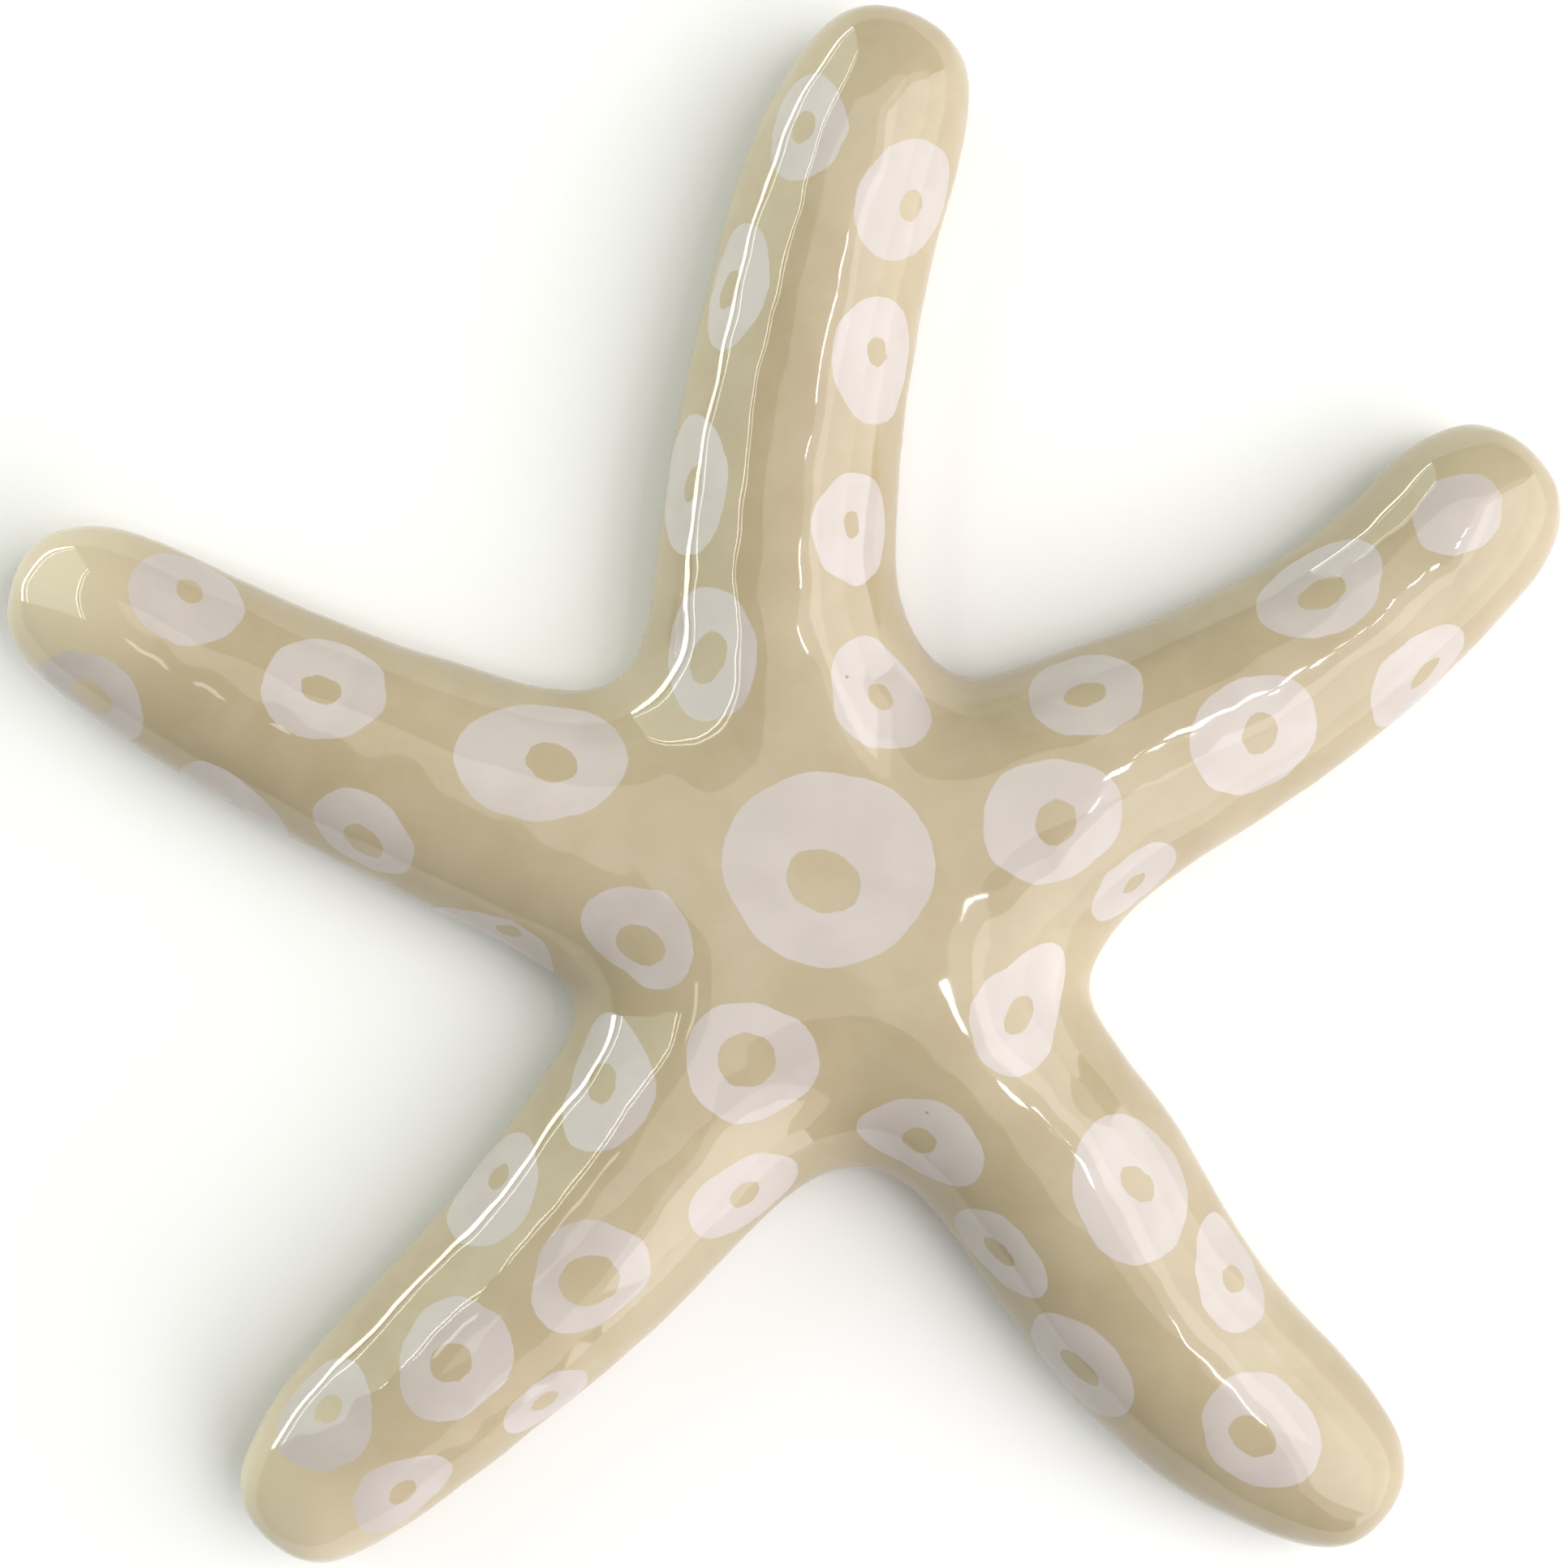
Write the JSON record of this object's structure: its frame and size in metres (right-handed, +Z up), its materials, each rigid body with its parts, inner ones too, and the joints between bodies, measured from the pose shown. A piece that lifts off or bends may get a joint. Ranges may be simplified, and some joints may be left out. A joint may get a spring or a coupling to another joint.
{
  "type": "glazed ceramic starfish",
  "caption": "Glossy ceramic starfish ornament with curved, nearly round arms and white ring spots on a sand-coloured glaze; it lies on a flat underside.",
  "frame": {"origin": "on the table, under the middle of the footprint's bounding box", "axes": "+Z up out of the back, +Y along the longest arm, +X to its right as seen from above"},
  "size_m": [0.2793, 0.2801, 0.0327],
  "materials": {
    "glaze": "clear gloss glaze over sand-coloured ground with hand-painted white rings"
  },
  "bodies": {
    "root": {"starfish_body": "glaze"}
  },
  "joints": []
}
